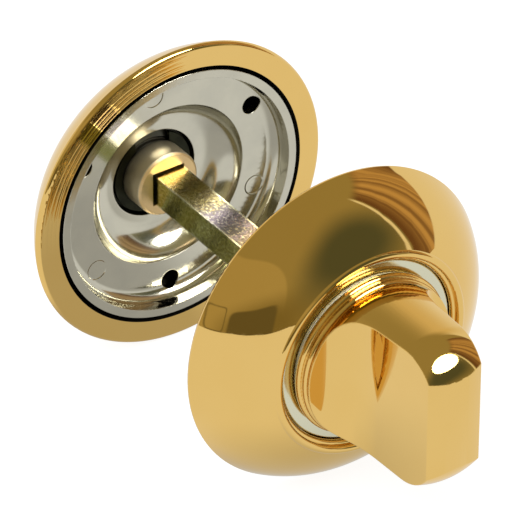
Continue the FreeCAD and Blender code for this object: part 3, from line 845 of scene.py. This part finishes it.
def table_tone(graph):
    """The table's white with its two shaded places."""
    place = graph.add("ShaderNodeTexCoord").outputs["Object"]
    parts = graph.add("ShaderNodeSeparateXYZ", {}, Vector=place)
    across, along = parts.outputs["X"], parts.outputs["Y"]
    tone = graph.mix(oval(graph, across, along, *TABLE_CONTACT_SHADE_OVAL), WHITE, TABLE_CONTACT_SHADE)
    lean = graph.math("ADD", across, graph.math("MULTIPLY", along, TABLE_SHADE_LEAN))
    shade = graph.both(band(graph, lean, *TABLE_SHADE_ACROSS), band(graph, along, *TABLE_SHADE_ALONG))
    return graph.mix(shade, tone, TABLE_SHADE)


def stage_material(name, shaded):
    """A surface that stays white to the camera and in polished metal, and keeps the shadow."""
    material, graph = new_material(name)
    path = graph.add("ShaderNodeLightPath")
    seen = graph.math("MAXIMUM", path.outputs["Is Camera Ray"], path.outputs["Is Glossy Ray"])
    strength = graph.math("MULTIPLY", seen, STAGE_STRENGTH)
    tone = table_tone(graph) if shaded else WHITE
    glow = graph.add("ShaderNodeEmission", {}, Color=tone, Strength=strength)
    matt = graph.add("ShaderNodeBsdfDiffuse", {}, Color=STAGE_MATT)
    whole = graph.add("ShaderNodeAddShader")
    graph.feed(whole.inputs[0], glow.outputs[0])
    graph.feed(whole.inputs[1], matt.outputs[0])
    graph.output(whole)
    return material


def flat_sheet(name, corners, material):
    """A flat sheet of the stage."""
    mesh = bpy.data.meshes.new(name)
    mesh.from_pydata(corners, [], [tuple(range(len(corners)))])
    sheet = bpy.data.objects.new(name, mesh)
    scene.collection.objects.link(sheet)
    mesh.materials.append(material)
    return sheet


def make_stage():
    """The floor that the camera sees, and the table in its place that only polished metal sees."""
    half = FLOOR_HALF
    corners = [(-half, -half, FLOOR_LEVEL), (half, -half, FLOOR_LEVEL),
               (half, half, FLOOR_LEVEL), (-half, half, FLOOR_LEVEL)]
    floor = flat_sheet("floor", corners, stage_material("white_floor", False))
    floor.visible_glossy = False
    front = Vector((math.sin(TABLE_FRONT), -math.cos(TABLE_FRONT), 0.0))
    along = Vector((math.cos(TABLE_FRONT), math.sin(TABLE_FRONT), 0.0))
    level = Vector((0.0, 0.0, FLOOR_LEVEL))
    corners = [
        level + front * TABLE_REACH - along * TABLE_DEPTH,
        level + front * TABLE_REACH + along * TABLE_DEPTH,
        level - front * TABLE_DEPTH + along * TABLE_DEPTH,
        level - front * TABLE_DEPTH - along * TABLE_DEPTH,
    ]
    table = flat_sheet("table", [tuple(corner) for corner in corners], stage_material("white_table", True))
    table.visible_camera = False
    table.visible_diffuse = False
    table.visible_shadow = False


# A lamp's place is a longitude, a latitude and a distance from the knob's foot. Sizes are across the disk.
SOFT_BOX_PLACE = (-60.0, 62.0, 1.1)
SOFT_BOX_TARGET = (0.0, 0.01, 0.0)
SOFT_BOX_SIZE = 0.9
SOFT_BOX_WATTS = 9.0
ROUND_LAMP_PLACE = (26.0, 42.0, 0.8)
ROUND_LAMP_TARGET = (0.0, -0.02, 0.0)
ROUND_LAMP_SIZE = 0.47
ROUND_LAMP_WATTS = 7.0
ROUND_LAMP_POLISHED_WATTS = 6.0


def toward(longitude, latitude, distance):
    """A point in a direction from the knob's foot."""
    around, above = math.radians(longitude), math.radians(latitude)
    way = Vector((math.sin(around) * math.cos(above), -math.cos(around) * math.cos(above), math.sin(above)))
    return way * distance


def area_lamp(name, place, target, size, watts):
    """A round area lamp that faces a target."""
    light = bpy.data.lights.new(name, "AREA")
    light.shape = "DISK"
    light.size = size
    light.energy = watts
    lamp = bpy.data.objects.new(name, light)
    scene.collection.objects.link(lamp)
    lamp.location = place
    lamp.rotation_mode = "QUATERNION"
    lamp.rotation_quaternion = (Vector(target) - place).to_track_quat("-Z", "Y")
    return lamp


def round_lamp(name, watts, pieces):
    """The round lamp, or a share of it, on some pieces only."""
    lamp = area_lamp(name, toward(*ROUND_LAMP_PLACE), ROUND_LAMP_TARGET, ROUND_LAMP_SIZE, watts)
    receivers = bpy.data.collections.new(name + "_receivers")
    for piece in pieces:
        receivers.objects.link(piece)
    lamp.light_linking.receiver_collection = receivers


def make_lamps(made):
    """A soft box that metal does not mirror, and a round lamp that is kept off the thumb turn's cover.

    More of the round lamp falls on the knob and the base plates than on the other pieces.
    """
    soft_box = area_lamp("soft_box", toward(*SOFT_BOX_PLACE), SOFT_BOX_TARGET, SOFT_BOX_SIZE, SOFT_BOX_WATTS)
    soft_box.visible_glossy = False
    lit = [node for name, node in nodes.items() if name != "turn_cover"] + made
    round_lamp("round_lamp", ROUND_LAMP_WATTS, lit)
    round_lamp("round_lamp_polished", ROUND_LAMP_POLISHED_WATTS, made + [nodes["turn_base_plate"]])


# The camera looks at a point on the spindle, moved in the picture's plane.
CAMERA_AZIMUTH = math.radians(-34.82)
CAMERA_ELEVATION = math.radians(35.43)
CAMERA_DISTANCE = 0.714
CAMERA_AIM = (0.0, 21 * MM, 0.0)
CAMERA_AIM_RIGHT = 1.99 * MM
CAMERA_AIM_DOWN = 1.58 * MM
CAMERA_CLIP = (0.01, 50.0)
PIXELS_PER_METRE = 6927.0
FRAME_PIXELS = 522.0
SENSOR = 36.0


def make_camera():
    """The camera in the photograph's place."""
    sin_a, cos_a = math.sin(CAMERA_AZIMUTH), math.cos(CAMERA_AZIMUTH)
    sin_e, cos_e = math.sin(CAMERA_ELEVATION), math.cos(CAMERA_ELEVATION)
    back = Vector((sin_a * cos_e, -cos_a * cos_e, sin_e))
    right = Vector((cos_a, sin_a, 0.0))
    up = Vector((-sin_e * sin_a, sin_e * cos_a, cos_e))
    aim = Vector(CAMERA_AIM) + right * CAMERA_AIM_RIGHT - up * CAMERA_AIM_DOWN
    data = bpy.data.cameras.new("camera")
    data.sensor_width = SENSOR
    data.lens = SENSOR * PIXELS_PER_METRE * CAMERA_DISTANCE / FRAME_PIXELS
    data.clip_start, data.clip_end = CAMERA_CLIP
    camera = bpy.data.objects.new("camera", data)
    scene.collection.objects.link(camera)
    camera.location = aim + back * CAMERA_DISTANCE
    camera.rotation_mode = "QUATERNION"
    camera.rotation_quaternion = (-back).to_track_quat("-Z", "Y")
    scene.camera = camera


dress_nodes()
make_world()
make_stage()
make_lamps([make_knob(), make_plate(*RELEASE_SIDE)])
make_camera()
